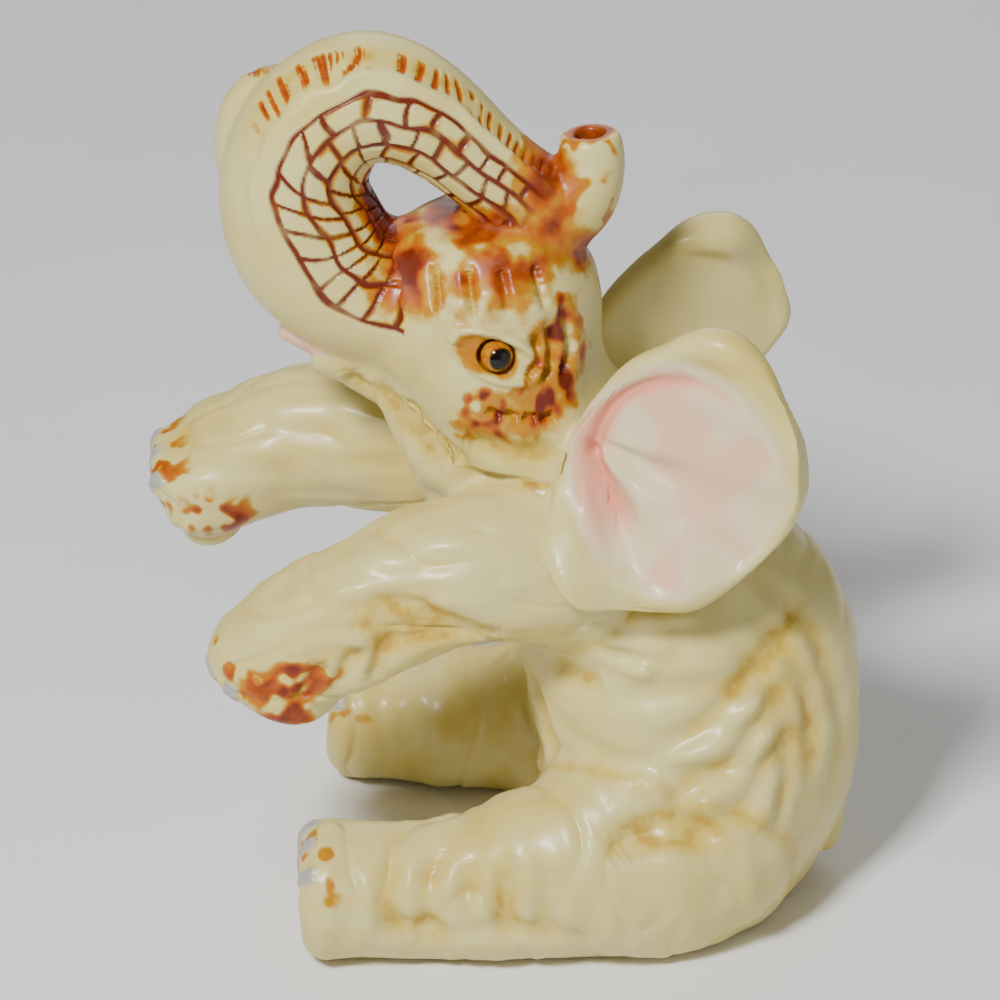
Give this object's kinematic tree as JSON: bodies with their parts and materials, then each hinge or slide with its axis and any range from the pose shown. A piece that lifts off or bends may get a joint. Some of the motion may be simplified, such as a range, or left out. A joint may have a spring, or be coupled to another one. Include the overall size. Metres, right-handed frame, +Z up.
{
  "type": "elephant figurine",
  "caption": "Sitting elephant with raised forelegs, its trunk curled back onto the forehead, on a flat cut base.",
  "frame": {"origin": "on the flat base, in the middle of the face that the torso stands on", "axes": "+Z up, -X is the way the elephant faces, +Y is its right-hand side"},
  "size_m": [0.0683, 0.0468, 0.0863],
  "materials": {
    "ivory_resin": "satin cast resin with hand-rubbed amber stain",
    "pink_resin": "satin cast resin, pink tint",
    "black_bead": "high gloss"
  },
  "bodies": {
    "root": {"torso": "ivory_resin", "head": "ivory_resin", "trunk": "ivory_resin", "lower_jaw": "ivory_resin", "tongue": "pink_resin", "left_ear": "ivory_resin", "right_ear": "ivory_resin", "left_foreleg": "ivory_resin", "right_foreleg": "ivory_resin", "left_hind_leg": "ivory_resin", "right_hind_leg": "ivory_resin", "tail": "ivory_resin", "left_eye": "black_bead", "right_eye": "black_bead"}
  },
  "joints": []
}
